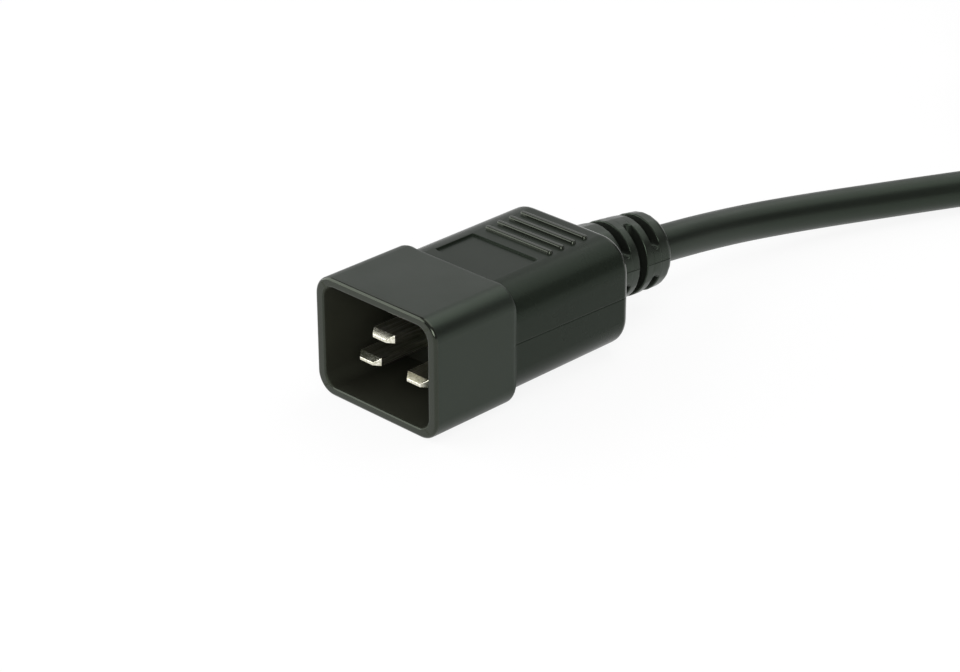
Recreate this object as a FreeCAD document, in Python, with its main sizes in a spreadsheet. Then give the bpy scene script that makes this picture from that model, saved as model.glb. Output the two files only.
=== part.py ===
import FreeCAD
import Part
import math
import os
import Sketcher

# Moulded power plug on a round jacketed lead, folded up for storage, with the matching socket at
# the far end. Millimetres. X is the width, the plug's mouth faces -Y, its cord leaves towards +Y,
# and Z is up. The origin is under the middle of the plug, on the surface that it rests on.

SIZES = (
    ("front_y", -38.18, "mouth rim of the plug, along Y"),
    ("shroud_width", 33.0, "outside of the shroud"),
    ("shroud_height", 25.2, "outside of the shroud"),
    ("shroud_corner", 4.4, "outside corner radius"),
    ("shroud_length", 21.4, "rim to shoulder"),
    ("rim_radius", 0.65, "outer edge of the rim"),
    ("lip_radius", 0.4, "inner edge of the rim"),
    ("shoulder_radius", 0.8, "back edge of the shroud"),
    ("mouth_width", 28.45, "opening for the socket's nose"),
    ("mouth_height", 21.45, "opening for the socket's nose"),
    ("mouth_corner", 2.9, "corner radius of the opening"),
    ("mouth_depth", 19.5, "rim to the floor of the opening"),
    ("grip_width", 32.7, "finger grip behind the shroud"),
    ("grip_height", 23.4, "finger grip behind the shroud"),
    ("grip_corner", 6.9, "corner radius of the grip"),
    ("grip_length", 32.6, "shoulder to the back of the grip"),
    ("grip_back_radius", 2.0, "back edge of the grip"),
    ("recess_width", 17.8, "bare panel on top of the grip"),
    ("recess_length", 10.0, "bare panel on top of the grip"),
    ("recess_start", 24.8, "rim to the panel"),
    ("recess_depth", 0.5, "bare panel on top of the grip"),
    ("recess_corner", 0.7, "corner radius of the panel"),
    ("rib_length", 17.8, "grip rib, end to end"),
    ("rib_width", 1.2, "grip rib"),
    ("rib_height", 0.6, "grip rib"),
    ("rib_crown", 0.35, "rounding along the top of a rib"),
    ("rib_start", 39.0, "rim to the first rib"),
    ("rib_step", 3.3, "rib to rib"),
    ("rib_count", 4, "ribs on a face"),
    ("relief_root", 17.8, "strain relief diameter at the grip"),
    ("relief_end", 16.2, "strain relief diameter at its tip"),
    ("relief_length", 21.9, "strain relief"),
    ("relief_tip_radius", 1.8, "rounding of the strain relief's tip"),
    ("relief_core", 10.6, "sleeve that stays between the slots"),
    ("relief_embed", 3.0, "strain relief root inside the grip"),
    ("relief_droop", 3.8, "degrees, the relief sags with the cord"),
    ("relief_swing", 3.1, "degrees, the relief swings to +X"),
    ("relief_twist", 4.5, "degrees, the plug's relief turns with the cord"),
    ("slot_first", 7.4, "grip to the first row of slots"),
    ("slot_step", 4.25, "row to row"),
    ("slot_width", 2.2, "slot, along the cord"),
    ("bridge", 5.6, "web between the two slots of a row"),
    ("pin_width", 6.0, "contact pin"),
    ("pin_thickness", 2.0, "contact pin"),
    ("pin_spacing", 13.0, "line to neutral"),
    ("phase_drop", 4.4, "line and neutral below the axis"),
    ("earth_rise", 3.6, "earth above the axis"),
    ("phase_tip", 3.7, "rim to the line and neutral tips"),
    ("earth_tip", 1.2, "rim to the earth tip"),
    ("tip_length", 1.0, "bevelled end of a pin"),
    ("tip_width", 3.6, "flat end of a pin"),
    ("tip_thickness", 0.5, "flat end of a pin"),
    ("carrier_length", 6.0, "pin carrier, front to back"),
    ("tail_width", 3.4, "shank between blade and barrel"),
    ("tail_thickness", 1.6, "shank between blade and barrel"),
    ("tail_length", 2.5, "shank between blade and barrel"),
    ("barrel_diameter", 3.8, "crimp barrel"),
    ("barrel_length", 7.0, "crimp barrel"),
    ("crimp_depth", 4.5, "strands inside the barrel"),
    ("strand_diameter", 1.8, "bare strands"),
    ("strand_gap", 2.0, "bare strands between barrel and insulation"),
    ("core_diameter", 2.9, "insulated core"),
    ("core_circle", 1.75, "radius of the cores inside the jacket"),
    ("core_bend", 11.4, "bend radius of a core"),
    ("core_lead", 1.0, "straight start of a core"),
    ("core_stop", 0.6, "end of a core to the jacket"),
    ("cord_diameter", 8.0, "jacket"),
    ("cord_inside", 4.3, "a grip's back to the jacket's end in the strain relief"),
    ("nose_width", 28.0, "socket nose"),
    ("nose_height", 21.0, "socket nose"),
    ("nose_corner", 2.7, "socket nose"),
    ("nose_length", 20.0, "socket nose"),
    ("socket_width", 32.7, "socket grip"),
    ("socket_height", 23.9, "socket grip, without its ribs"),
    ("socket_length", 32.7, "socket grip"),
    ("socket_front_radius", 1.0, "front edge of the socket grip"),
    ("socket_rib_start", 35.0, "socket face to the first rib"),
    ("socket_y", 180.0, "socket face, along Y"),
    ("socket_base", 8.5, "underside of the socket, on the hank"),
    ("insert_width", 24.6, "contact carrier"),
    ("insert_height", 17.6, "contact carrier"),
    ("insert_corner", 1.6, "contact carrier"),
    ("insert_length", 18.0, "contact carrier"),
    ("window_width", 6.8, "entry slot for a pin"),
    ("window_height", 2.8, "entry slot for a pin"),
    ("window_depth", 2.0, "entry slot for a pin"),
    ("chamber_width", 7.4, "chamber for a contact"),
    ("chamber_height", 4.8, "chamber for a contact"),
    ("leaf_width", 6.6, "spring leaf of a contact"),
    ("leaf_thickness", 0.8, "spring leaf of a contact"),
    ("leaf_gap", 2.2, "leaf to leaf"),
    ("leaf_setback", 0.5, "chamber's front wall to the leaves"),
    ("plate_thickness", 1.0, "back plate of a contact"),
    ("hank_x", 20.0, "middle of the hank"),
    ("hank_y", 247.0, "middle of the hank"),
    ("hank_run", 114.0, "straight part of the hank's turns"),
    ("hank_inner", 20.0, "fold radius inside the turns"),
    ("hank_outer", 36.0, "fold radius outside the turns"),
    ("hank_layer", 8.4, "one layer of cord"),
    ("hank_edge", 3.5, "rounding of the turns"),
    ("tie_thickness", 1.0, "strap round one side of the hank"),
    ("tie_width", 14.0, "strap round one side of the hank"),
)

# The cord's way along the floor, from inside the plug to the edge of the hank, and from the top of
# the hank to the socket. The first point and the last lie on the axes of the two strain reliefs.
RUN_POINTS = (
    (0.23, 20.10, 12.32),
    (1.36, 41.00, 10.93),
    (1.60, 63.40, 8.00),
    (5.40, 83.90, 5.90),
    (12.20, 104.40, 4.55),
    (22.20, 126.10, 4.25),
    (33.60, 148.40, 4.15),
    (47.00, 173.00, 4.20),
)
TAIL_POINTS = (
    (-4.00, 304.00, 12.60),
    (-4.00, 286.50, 12.60),
    (-1.80, 265.97, 18.83),
    (-0.23, 236.99, 20.77),
)
ARC_SHARE = 0.45

# Pole, place across the axis, place above the axis, and distance of the tip from the rim
POLES = (
    ("line", "-1 * pin_spacing / 2", "-1 * phase_drop", "phase_tip"),
    ("neutral", "pin_spacing / 2", "-1 * phase_drop", "phase_tip"),
    ("earth", "0", "earth_rise", "earth_tip"),
)
CORE_ANGLES = {"line": 210, "neutral": 330, "earth": 90}

document = FreeCAD.newDocument("power_lead")
sheet = document.addObject("Spreadsheet::Sheet", "sizes")
for row, (alias, value, note) in enumerate(SIZES, start=1):
    sheet.set(f"A{row}", note)
    sheet.set(f"B{row}", str(value))
    sheet.setAlias(f"B{row}", alias)
document.recompute()

ALIASES = {alias for alias, value, note in SIZES}
X_UNIT = FreeCAD.Vector(1, 0, 0)
Y_UNIT = FreeCAD.Vector(0, 1, 0)
Z_UNIT = FreeCAD.Vector(0, 0, 1)
nodes = []


def formula(text):
    """Turn words such as 'pin_width / 2' into an expression on the sheet."""
    words = text.replace("(", " ( ").replace(")", " ) ").split()
    return " ".join("sizes." + word if word in ALIASES else word for word in words)


def number(text):
    return float(sheet.evalExpression(formula(text)))


def new_body(label):
    body = document.addObject("PartDesign::Body", label)
    body.Label = label
    return body


def keep(item):
    """Mark an object that is written out as a piece of its own."""
    item.Label = item.Name
    nodes.append(item)
    return item


def origin_feature(body, role):
    return [item for item in body.Origin.OriginFeatures if item.Role == role][0]


def new_sketch(body, name, plane, offset="0"):
    """Sketch on one of the body's own planes, moved along that plane's normal."""
    sketch = body.newObject("Sketcher::SketchObject", name)
    sketch.AttachmentSupport = [(origin_feature(body, plane), "")]
    sketch.MapMode = "FlatFace"
    sketch.setExpression("AttachmentOffset.Base.z", formula(offset))
    return sketch


def bind(sketch, kind, places, text):
    """Dimension whose value is an expression on the sheet."""
    index = sketch.addConstraint(Sketcher.Constraint(kind, *places, number(text)))
    sketch.setExpression(f"Constraints[{index}]", formula(text))


def locate(sketch, shape, point, across, up):
    """Fix a point of a shape at two distances from the sketch's origin."""
    for kind, text, axis in (("DistanceX", across, -2), ("DistanceY", up, -1)):
        value = number(text)
        if abs(value) < 1e-9:
            sketch.addConstraint(Sketcher.Constraint("PointOnObject", shape, point, axis))
        elif value > 0:
            bind(sketch, kind, (-1, 1, shape, point), text)
        else:
            bind(sketch, kind, (shape, point, -1, 1), f"-1 * ( {text} )")


def polygon(sketch, corners):
    """Closed outline through corners that stay where the sheet puts them."""
    points = [FreeCAD.Vector(number(x), number(y), 0) for x, y in corners]
    ends = points[1:] + points[:1]
    lines = [
        sketch.addGeometry(Part.LineSegment(start, end), False)
        for start, end in zip(points, ends)
    ]
    for line, following in zip(lines, lines[1:] + lines[:1]):
        sketch.addConstraint(Sketcher.Constraint("Coincident", line, 2, following, 1))
    for line, corner in zip(lines, corners):
        locate(sketch, line, 1, *corner)


def rectangle(sketch, width, height, across="0", up="0"):
    left = f"{across} - ( {width} ) / 2"
    right = f"{across} + ( {width} ) / 2"
    low = f"{up} - ( {height} ) / 2"
    high = f"{up} + ( {height} ) / 2"
    polygon(sketch, ((left, low), (right, low), (right, high), (left, high)))


def rounded_rectangle(sketch, width, height, corner, up="0"):
    """Rectangle with round corners, centred on the sketch's vertical axis."""
    half = (number(width) / 2, number(height) / 2)
    radius = number(corner)
    middle = FreeCAD.Vector(0, number(up), 0)
    lines = []
    arcs = []
    for quarter in range(4):
        along = half[quarter % 2] - radius
        out = half[1 - quarter % 2]
        turn = FreeCAD.Rotation(Z_UNIT, 90 * quarter)
        start = middle + turn.multVec(FreeCAD.Vector(-along, -out, 0))
        end = middle + turn.multVec(FreeCAD.Vector(along, -out, 0))
        centre = middle + turn.multVec(FreeCAD.Vector(along, radius - out, 0))
        first = math.radians(90 * quarter - 90)
        circle = Part.Circle(centre, Z_UNIT, radius)
        arc = Part.ArcOfCircle(circle, first, first + math.pi / 2)
        lines.append(sketch.addGeometry(Part.LineSegment(start, end), False))
        arcs.append(sketch.addGeometry(arc, False))
    for quarter, (line, arc) in enumerate(zip(lines, arcs)):
        following = lines[(quarter + 1) % 4]
        sketch.addConstraint(Sketcher.Constraint("Tangent", line, 2, arc, 1))
        sketch.addConstraint(Sketcher.Constraint("Tangent", arc, 2, following, 1))
        sketch.addConstraint(Sketcher.Constraint(("Horizontal", "Vertical")[quarter % 2], line))
    for arc in arcs[1:]:
        sketch.addConstraint(Sketcher.Constraint("Equal", arcs[0], arc))
    bind(sketch, "Radius", (arcs[0],), corner)
    locate(sketch, lines[0], 1, f"( {corner} ) - ( {width} ) / 2", f"{up} - ( {height} ) / 2")
    locate(sketch, lines[2], 1, f"( {width} ) / 2 - ( {corner} )", f"{up} + ( {height} ) / 2")


def circle_outline(sketch, diameter):
    ring = sketch.addGeometry(Part.Circle(FreeCAD.Vector(), Z_UNIT, number(diameter) / 2), False)
    sketch.addConstraint(Sketcher.Constraint("Coincident", ring, 3, -1, 1))
    bind(sketch, "Diameter", (ring,), diameter)


def pad(body, name, sketch, length, reverse=False):
    feature = body.newObject("PartDesign::Pad", name)
    feature.Profile = sketch
    feature.Reversed = reverse
    feature.setExpression("Length", formula(length))
    document.recompute()
    return feature


def pocket(body, name, sketch, length):
    """Cut against the sketch's normal, and make sure that it took something away."""
    before = body.Shape.Volume
    feature = body.newObject("PartDesign::Pocket", name)
    feature.Profile = sketch
    feature.setExpression("Length", formula(length))
    document.recompute()
    if body.Shape.Volume > before - 1e-6:
        raise RuntimeError(f"{name} cuts nothing")
    return feature


def revolve(body, name, sketch, axis):
    feature = body.newObject("PartDesign::Revolution", name)
    feature.Profile = sketch
    feature.ReferenceAxis = (sketch, [axis])
    document.recompute()
    return feature


def fillet(body, name, base, radius, test):
    """Round every edge of a feature whose points all pass a test."""
    edges = [
        f"Edge{index}" for index, edge in enumerate(base.Shape.Edges, start=1)
        if all(test(point) for point in edge.discretize(5))
    ]
    feature = body.newObject("PartDesign::Fillet", name)
    feature.Base = (base, edges)
    feature.setExpression("Radius", formula(radius))
    document.recompute()
    return feature


def near(value, *texts):
    return any(abs(value - number(text)) < 1e-4 for text in texts)


def plug_place(across=0.0, along=0.0, up=0.0, spin=0.0):
    """Place in the plug: from its axis at the mouth's rim, backwards along Y."""
    rim = FreeCAD.Vector(0, number("front_y"), number("shroud_height / 2"))
    offset = FreeCAD.Vector(across, along, up)
    return FreeCAD.Placement(rim + offset, FreeCAD.Rotation(Y_UNIT, spin))


def socket_place(across=0.0, along=0.0, up=0.0, spin=0.0):
    """Place in the socket: from its axis at the face, backwards along its own length."""
    axis_height = number("socket_base + rib_height + socket_height / 2")
    face = FreeCAD.Vector(0, number("socket_y"), axis_height)
    offset = FreeCAD.Vector(across, along, up)
    return FreeCAD.Placement(face + offset, FreeCAD.Rotation(Y_UNIT, spin))


def rib_rows(body, name, height, start):
    """Round-topped ribs across the upper and the lower face of a grip."""
    top = f"( {height} ) / 2 + rib_height"
    sketch = new_sketch(body, name + "_outline", "XY_Plane", f"-1 * ( {top} )")
    rounded_rectangle(sketch, "rib_length", "rib_width", "rib_width / 2 - 0.001", start)
    rib = pad(body, name, sketch, f"2 * ( {top} )")
    rows = body.newObject("PartDesign::LinearPattern", name + "_rows")
    rows.Originals = [rib]
    rows.Direction = (origin_feature(body, "Y_Axis"), [""])
    rows.setExpression("Length", formula("rib_step * ( rib_count - 1 )"))
    rows.setExpression("Occurrences", formula("rib_count"))
    body.Tip = rows
    document.recompute()
    fillet(body, name + "_crowns", rows, "rib_crown", lambda point: near(abs(point.z), top))


def notch_outline(sketch, start, side, sideways):
    """Slot that is open at the sleeve's skin and ends round at a web; sideways swaps its directions."""
    radius = number("slot_width / 2")
    middle = number(f"{start} + slot_width / 2")
    level = side * number("bridge / 2 + slot_width / 2")
    far = side * number("relief_root / 2 + 1")

    def place(along, out):
        return FreeCAD.Vector(out, along, 0) if sideways else FreeCAD.Vector(along, out, 0)

    centre = place(middle, level)
    first = math.radians((90 if sideways else 180) - (0 if side > 0 else 180))
    circle = Part.Circle(centre, Z_UNIT, radius)
    arc = sketch.addGeometry(Part.ArcOfCircle(circle, first, first + math.pi), False)
    walls = []
    tops = []
    for angle in (first, first + math.pi):
        foot = centre + FreeCAD.Vector(math.cos(angle), math.sin(angle), 0) * radius
        tops.append(place(foot.y if sideways else foot.x, far))
        walls.append(sketch.addGeometry(Part.LineSegment(foot, tops[-1]), False))
    top = sketch.addGeometry(Part.LineSegment(*tops), False)
    for end, wall in zip((1, 2), walls):
        sketch.addConstraint(Sketcher.Constraint("Tangent", arc, end, wall, 1))
        sketch.addConstraint(Sketcher.Constraint("Coincident", wall, 2, top, end))
        sketch.addConstraint(Sketcher.Constraint("Horizontal" if sideways else "Vertical", wall))
    sketch.addConstraint(Sketcher.Constraint("Vertical" if sideways else "Horizontal", top))
    bind(sketch, "Radius", (arc,), "slot_width / 2")
    along = f"{start} + slot_width / 2"
    out = f"{side} * ( bridge / 2 + slot_width / 2 )"
    locate(sketch, arc, 3, *((out, along) if sideways else (along, out)))
    places = (-1, 1, top, 1) if side > 0 else (top, 1, -1, 1)
    bind(sketch, "DistanceX" if sideways else "DistanceY", places, "relief_root / 2 + 1")


def strain_relief(label):
    """Tapered sleeve with three rows of slots, each row turned a quarter against the last."""
    body = new_body(label)
    profile = new_sketch(body, label + "_profile", "YZ_Plane")
    polygon(profile, (
        ("-1 * relief_embed", "0"),
        ("relief_length", "0"),
        ("relief_length", "relief_end / 2"),
        ("-1 * relief_embed", "relief_root / 2"),
    ))
    sleeve = revolve(body, label + "_sleeve", profile, "H_Axis")
    fillet(body, label + "_tip", sleeve, "relief_tip_radius",
           lambda point: near(point.y, "relief_length"))
    for row in range(3):
        sideways = row % 2 == 1
        start = f"slot_first + {row} * slot_step"
        plane = "XY_Plane" if sideways else "YZ_Plane"
        outline = new_sketch(body, f"{label}_row_{row}", plane, "relief_root / 2 + 1")
        for side in (1, -1):
            notch_outline(outline, start, side, sideways)
        pocket(body, f"{label}_slots_{row}", outline, "relief_root + 2")
    outline = new_sketch(body, label + "_core_outline", "XZ_Plane", "relief_embed")
    circle_outline(outline, "relief_core")
    pad(body, label + "_core", outline, "relief_embed + relief_length", True)
    return body


def crimp_barrel(body, name, start):
    """Shank and crimp barrel behind a contact, with the strands' bore open at the back."""
    outline = new_sketch(body, name + "_shank_outline", "XZ_Plane", f"-1 * ( {start} )")
    rectangle(outline, "tail_width", "tail_thickness")
    pad(body, name + "_shank", outline, "tail_length + 0.5", True)
    front = f"{start} + tail_length"
    outline = new_sketch(body, name + "_barrel_outline", "XZ_Plane", f"-1 * ( {front} )")
    circle_outline(outline, "barrel_diameter")
    pad(body, name + "_barrel", outline, "barrel_length", True)
    bottom = f"{front} + barrel_length - crimp_depth"
    outline = new_sketch(body, name + "_bore_outline", "XZ_Plane", f"-1 * ( {bottom} )")
    circle_outline(outline, "strand_diameter")
    pocket(body, name + "_bore", outline, "crimp_depth")


# Plug: shroud and grip of the one-piece moulding
plug_shell = new_body("plug_shell")
plug_shell.setExpression("Placement.Base.y", formula("front_y"))
plug_shell.setExpression("Placement.Base.z", formula("shroud_height / 2"))
outline = new_sketch(plug_shell, "shroud_outline", "XZ_Plane")
rounded_rectangle(outline, "shroud_width", "shroud_height", "shroud_corner")
shroud = pad(plug_shell, "shroud", outline, "shroud_length", True)
shroud = fillet(plug_shell, "rim_edge", shroud, "rim_radius", lambda point: near(point.y, "0"))
fillet(plug_shell, "shoulder", shroud, "shoulder_radius",
       lambda point: near(point.y, "shroud_length"))
outline = new_sketch(plug_shell, "grip_outline", "XZ_Plane", "-1 * ( shroud_length - 3 )")
rounded_rectangle(outline, "grip_width", "grip_height", "grip_corner")
grip = pad(plug_shell, "grip", outline, "grip_length + 3", True)
fillet(plug_shell, "grip_back", grip, "grip_back_radius",
       lambda point: near(point.y, "shroud_length + grip_length"))
rib_rows(plug_shell, "grip_rib", "grip_height", "rib_start")
outline = new_sketch(plug_shell, "recess_outline", "XY_Plane", "grip_height / 2")
rounded_rectangle(outline, "recess_width", "recess_length", "recess_corner",
                  "recess_start + recess_length / 2")
pocket(plug_shell, "recess", outline, "recess_depth")
outline = new_sketch(plug_shell, "mouth_outline", "XZ_Plane")
rounded_rectangle(outline, "mouth_width", "mouth_height", "mouth_corner")
mouth = pocket(plug_shell, "mouth", outline, "mouth_depth + carrier_length")
fillet(plug_shell, "lip", mouth, "lip_radius", lambda point: (
    near(point.y, "0")
    and abs(point.x) < number("mouth_width / 2") + 1e-4
    and abs(point.z) < number("mouth_height / 2") + 1e-4))

plug_relief = strain_relief("plug_relief")
sag = FreeCAD.Rotation(-number("relief_swing"), 0, -number("relief_droop"))
grip_back = plug_place(0, number("shroud_length + grip_length"), 0)
twist = FreeCAD.Rotation(Y_UNIT, -number("relief_twist"))
plug_relief.Placement = FreeCAD.Placement(grip_back.Base, sag.multiply(twist))

# Plug: rigid carrier that closes the mouth's floor and holds the pins
plug_pin_carrier = keep(new_body("plug_pin_carrier"))
plug_pin_carrier.Placement = plug_place()
outline = new_sketch(plug_pin_carrier, "carrier_outline", "XZ_Plane", "-1 * mouth_depth")
rounded_rectangle(outline, "mouth_width", "mouth_height", "mouth_corner")
pad(plug_pin_carrier, "carrier", outline, "carrier_length", True)
outline = new_sketch(plug_pin_carrier, "pin_windows", "XZ_Plane", "-1 * mouth_depth")
for pole, across, up, tip in POLES:
    rectangle(outline, "pin_width", "pin_thickness", across, up)
pocket(plug_pin_carrier, "pin_holes", outline, "carrier_length")


def contact_pin(pole, across, up, tip):
    """Flat pin with a bevelled end, pressed through the carrier and crimped at its tail."""
    body = keep(new_body(f"plug_{pole}_pin"))
    body.Placement = plug_place(number(across), 0, number(up))
    flat = new_sketch(body, pole + "_tip_outline", "XZ_Plane", f"-1 * {tip}")
    rectangle(flat, "tip_width", "tip_thickness")
    blade = new_sketch(body, pole + "_blade_outline", "XZ_Plane", f"-1 * ( {tip} + tip_length )")
    rectangle(blade, "pin_width", "pin_thickness")
    document.recompute()
    bevel = body.newObject("PartDesign::AdditiveLoft", pole + "_bevel")
    bevel.Profile = flat
    bevel.Sections = [blade]
    bevel.Ruled = True
    document.recompute()
    pad(body, pole + "_blade", blade, f"mouth_depth + carrier_length - {tip} - tip_length", True)
    crimp_barrel(body, pole + "_pin", "mouth_depth + carrier_length")
    return body


plug_pins = [contact_pin(*pole) for pole in POLES]


# Insulated cores and their bare ends, between the crimp barrels and the jacket
def bare_strands(label, place):
    """Stripped end of a core, most of it in the crimp barrel."""
    strands = keep(document.addObject("Part::Cylinder", label))
    strands.setExpression("Radius", formula("strand_diameter / 2"))
    strands.setExpression("Height", formula("crimp_depth + strand_gap"))
    lay_down = FreeCAD.Placement(FreeCAD.Vector(), FreeCAD.Rotation(X_UNIT, -90))
    strands.Placement = place.multiply(lay_down)
    return strands


def insulated_core(label, offset, length, place):
    """Insulated core: an easy double bend from its contact towards the middle of the cord."""
    body = keep(new_body(label))
    body.Placement = place
    path = new_sketch(body, label + "_path", "XY_Plane")
    radius = number("core_bend")
    lead = number("core_lead")
    turn = math.acos(1 - offset / (2 * radius))
    reach = lead + 2 * radius * math.sin(turn)
    first = Part.Circle(FreeCAD.Vector(radius, lead, 0), Z_UNIT, radius)
    second = Part.Circle(FreeCAD.Vector(offset - radius, reach, 0), Z_UNIT, radius)
    pieces = (
        Part.LineSegment(FreeCAD.Vector(), FreeCAD.Vector(0, lead, 0)),
        Part.ArcOfCircle(first, math.pi - turn, math.pi),
        Part.ArcOfCircle(second, -turn, 0),
        Part.LineSegment(FreeCAD.Vector(offset, reach, 0), FreeCAD.Vector(offset, length, 0)),
    )
    entry, bend, back, leave = [path.addGeometry(piece, False) for piece in pieces]
    path.addConstraint(Sketcher.Constraint("Coincident", entry, 1, -1, 1))
    path.addConstraint(Sketcher.Constraint("Vertical", entry))
    path.addConstraint(Sketcher.Constraint("Vertical", leave))
    path.addConstraint(Sketcher.Constraint("Tangent", entry, 2, bend, 2))
    path.addConstraint(Sketcher.Constraint("Tangent", bend, 1, back, 1))
    path.addConstraint(Sketcher.Constraint("Tangent", back, 2, leave, 1))
    path.addConstraint(Sketcher.Constraint("Equal", bend, back))
    path.addConstraint(Sketcher.Constraint("DistanceX", -1, 1, leave, 2, offset))
    path.addConstraint(Sketcher.Constraint("DistanceY", -1, 1, leave, 2, length))
    bind(path, "Radius", (bend,), "core_bend")
    bind(path, "DistanceY", (entry, 1, entry, 2), "core_lead")
    section = new_sketch(body, label + "_section", "XZ_Plane")
    circle_outline(section, "core_diameter")
    document.recompute()
    sweep = body.newObject("PartDesign::AdditivePipe", label + "_sweep")
    sweep.Profile = section
    sweep.Spine = (path, [f"Edge{index}" for index in range(1, 5)])
    document.recompute()
    return body


def wiring(end, barrel_end, jacket_start, put):
    """Three cores with their bare ends; put() is the place in the plug or in the socket."""
    pieces = []
    core_start = barrel_end + number("strand_gap")
    for pole, across, up, tip in POLES:
        angle = math.radians(CORE_ANGLES[pole])
        x = number(across)
        z = number(up)
        step_x = number("core_circle") * math.cos(angle) - x
        step_z = number("core_circle") * math.sin(angle) - z
        spin = -math.degrees(math.atan2(step_z, step_x))
        strands_at = put(x, barrel_end - number("crimp_depth"), z)
        core_at = put(x, core_start, z, spin)
        length = jacket_start - core_start - number("core_stop")
        offset = math.hypot(step_x, step_z)
        pieces.append(bare_strands(f"{end}_{pole}_strands", strands_at))
        pieces.append(insulated_core(f"{end}_{pole}_core", offset, length, core_at))
    return pieces


plug_wiring = wiring(
    "plug",
    number("mouth_depth + carrier_length + tail_length + barrel_length"),
    number("shroud_length + grip_length + cord_inside"),
    plug_place)


# Cord: closed solid for the folded turns, two side by side and part of a third on top
def hank_body(label):
    body = new_body(label)
    body.setExpression("Placement.Base.x", formula("hank_x"))
    body.setExpression("Placement.Base.y", formula("hank_y"))
    return body


def folded_turns(body, name, outer, base, top):
    """Long ring round the hank's hollow, with round ends and rounded upper and lower edges."""
    outline = new_sketch(body, name + "_outline", "XY_Plane", base)
    for radius in (outer, "hank_inner"):
        rounded_rectangle(outline, f"2 * ( {radius} )", f"hank_run + 2 * ( {radius} )",
                          f"{radius} - 0.001")
    ring = pad(body, name, outline, f"{top} - {base}")
    fillet(body, name + "_edges", ring, "hank_edge", lambda point: near(point.z, "0", top))


hank_low = hank_body("hank_low")
folded_turns(hank_low, "low_turns", "hank_outer", "0", "hank_layer")
hank_high = hank_body("hank_high")
folded_turns(hank_high, "high_turn", "hank_outer - cord_diameter", "hank_layer / 2", "2 * hank_layer")
outline = new_sketch(hank_high, "open_side_outline", "XY_Plane", "2 * hank_layer")
rectangle(outline, "hank_outer", "hank_run + hank_outer", "-1 * hank_outer / 2", "-1 * hank_outer / 2")
pocket(hank_high, "open_side", outline, "2 * hank_layer")

# Cord: strap that holds the turns of one side together and sinks into them underneath
cord_tie = keep(hank_body("cord_tie"))
outline = new_sketch(cord_tie, "tie_section", "XZ_Plane", "tie_width / 2")
for gap in ("tie_thickness", "0"):
    left = f"hank_inner - {gap}"
    right = f"hank_outer + {gap}"
    low = f"tie_thickness - {gap}"
    high = f"2 * hank_layer + {gap}"
    polygon(outline, (
        (left, low),
        (right, low),
        (right, f"hank_layer + {gap} / 2"),
        (f"hank_outer - cord_diameter + {gap}", high),
        (left, high),
    ))
pad(cord_tie, "tie_band", outline, "tie_width", True)

hank_turns = document.addObject("Part::MultiFuse", "hank_turns")
hank_turns.Shapes = [hank_low, hank_high]
cord_hank = document.addObject("Part::Cut", "cord_hank")
cord_hank.Base = hank_turns
cord_hank.Tool = cord_tie
keep(cord_hank)
document.recompute()


# Cord: jacket from the plug to the hank, and from the hank to the socket
def tube(points, diameter):
    """Round tube along straight runs, with an arc at each corner as wide as its runs allow."""
    corners = [FreeCAD.Vector(*point) for point in points]
    edges = []
    at = corners[0]
    for before, corner, after in zip(corners, corners[1:], corners[2:]):
        back = before - corner
        ahead = after - corner
        trim = ARC_SHARE * min(back.Length, ahead.Length)
        half_turn = (math.pi - back.getAngle(ahead)) / 2
        radius = trim / math.tan(half_turn)
        back.normalize()
        ahead.normalize()
        inward = back + ahead
        inward.normalize()
        middle = corner + inward * (math.hypot(radius, trim) - radius)
        edges.append(Part.LineSegment(at, corner + back * trim).toShape())
        edges.append(Part.Arc(corner + back * trim, middle, corner + ahead * trim).toShape())
        at = corner + ahead * trim
        print("cord bend radius %.1f" % radius)
    edges.append(Part.LineSegment(at, corners[-1]).toShape())
    path = Part.Wire(edges)
    section = Part.Wire(Part.Circle(corners[0], corners[1] - corners[0], diameter / 2).toShape())
    solid = path.makePipeShell([section], True, False)
    share = solid.Volume / (math.pi * diameter ** 2 / 4 * path.Length)
    print("cord tube length %.1f, volume %.4f of section by length" % (path.Length, share))
    return solid


def cord_stretch(label, points):
    """Stretch of jacket that ends against the hank."""
    whole = document.addObject("Part::Feature", label + "_tube")
    whole.Shape = tube(points, number("cord_diameter"))
    stretch = document.addObject("Part::Cut", label)
    stretch.Base = whole
    stretch.Tool = cord_hank
    return keep(stretch)


cord_run = cord_stretch("cord_run", RUN_POINTS)
cord_tail = cord_stretch("cord_tail", TAIL_POINTS)


def moulding(label, forms, inserts):
    """One moulding: its outer forms joined, less everything that is moulded in."""
    outside = document.addObject("Part::MultiFuse", label + "_outside")
    outside.Shapes = forms
    inside = document.addObject("Part::MultiFuse", label + "_inserts")
    inside.Shapes = inserts
    whole = document.addObject("Part::Cut", label)
    whole.Base = outside
    whole.Tool = inside
    return keep(whole)


plug_inserts = [plug_pin_carrier] + plug_pins + plug_wiring + [cord_run]
moulding("plug_housing", [plug_shell, plug_relief], plug_inserts)

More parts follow.
